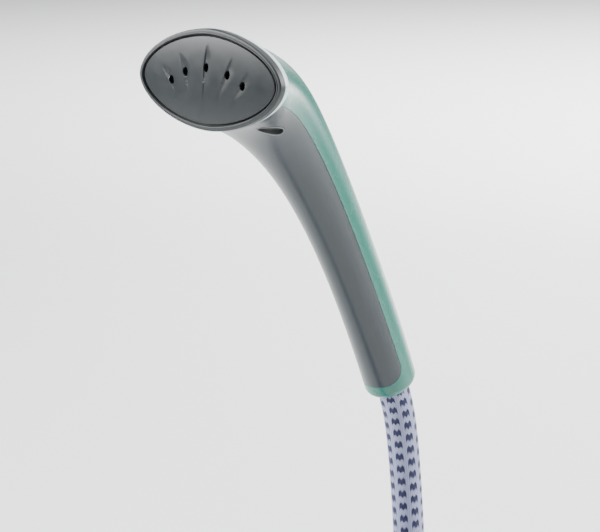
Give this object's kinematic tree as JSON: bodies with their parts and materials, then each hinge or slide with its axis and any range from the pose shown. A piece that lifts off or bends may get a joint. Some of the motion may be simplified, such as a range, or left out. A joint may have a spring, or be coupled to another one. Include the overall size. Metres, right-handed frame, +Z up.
{
  "type": "garment steamer hand unit",
  "caption": "Garment steamer hand unit with a five-port steam plate, two-tone shell and fabric-sleeved hose.",
  "frame": {"origin": "middle of the grip, on the handle's centre line", "axes": "+Z up, -Y the way the steam plate faces, X = 0 the plane of symmetry"},
  "size_m": [0.1305, 0.281, 0.634],
  "materials": {
    "plate_metal": "glossy coated metal",
    "seal_black": "satin",
    "shell_grey": "fine satin moulding",
    "collar_pale": "gloss",
    "cast_aluminium": "as cast",
    "gasket_red": "satin silicone",
    "thin_steel": "zinc plated",
    "shell_mint": "gloss",
    "dark_plastic": "matte",
    "clear_silicone": "satin, milky",
    "brass_fitting": "machined",
    "hose_sleeve": "knitted polyester sleeve with stitched marks",
    "tie_rubber": "matte",
    "cuff_rubber": "satin"
  },
  "bodies": {
    "root": {"steam_plate": "plate_metal", "plate_seal": "seal_black", "head_bezel": "shell_grey", "head_collar": "collar_pale", "steam_chamber": "cast_aluminium", "chamber_gasket": "gasket_red", "splash_baffle": "thin_steel", "chamber_screws": "thin_steel", "front_shell": "shell_grey", "rear_shell": "shell_mint", "back_strip": "shell_mint", "shell_screws": "thin_steel", "slot_pocket": "dark_plastic", "steam_tube": "clear_silicone", "tube_clip_upper": "dark_plastic", "tube_clip_lower": "dark_plastic", "hose_nipple": "brass_fitting", "hose_anchor": "dark_plastic", "steam_hose": "hose_sleeve", "hose_coil": "hose_sleeve", "hose_ties": "tie_rubber", "connector_cuff": "cuff_rubber", "connector_body": "shell_grey", "spigot_rings": "seal_black", "collar_clip": "thin_steel"},
    "lock": {"lock_collar": "collar_pale"}
  },
  "joints": [
    {"name": "lock_turn", "type": "hinge", "parent": "root", "child": "lock", "pos_m": [0.053, -0.172, -0.283], "axis": [0, 0, 1], "range_deg": [0, 60]}
  ]
}
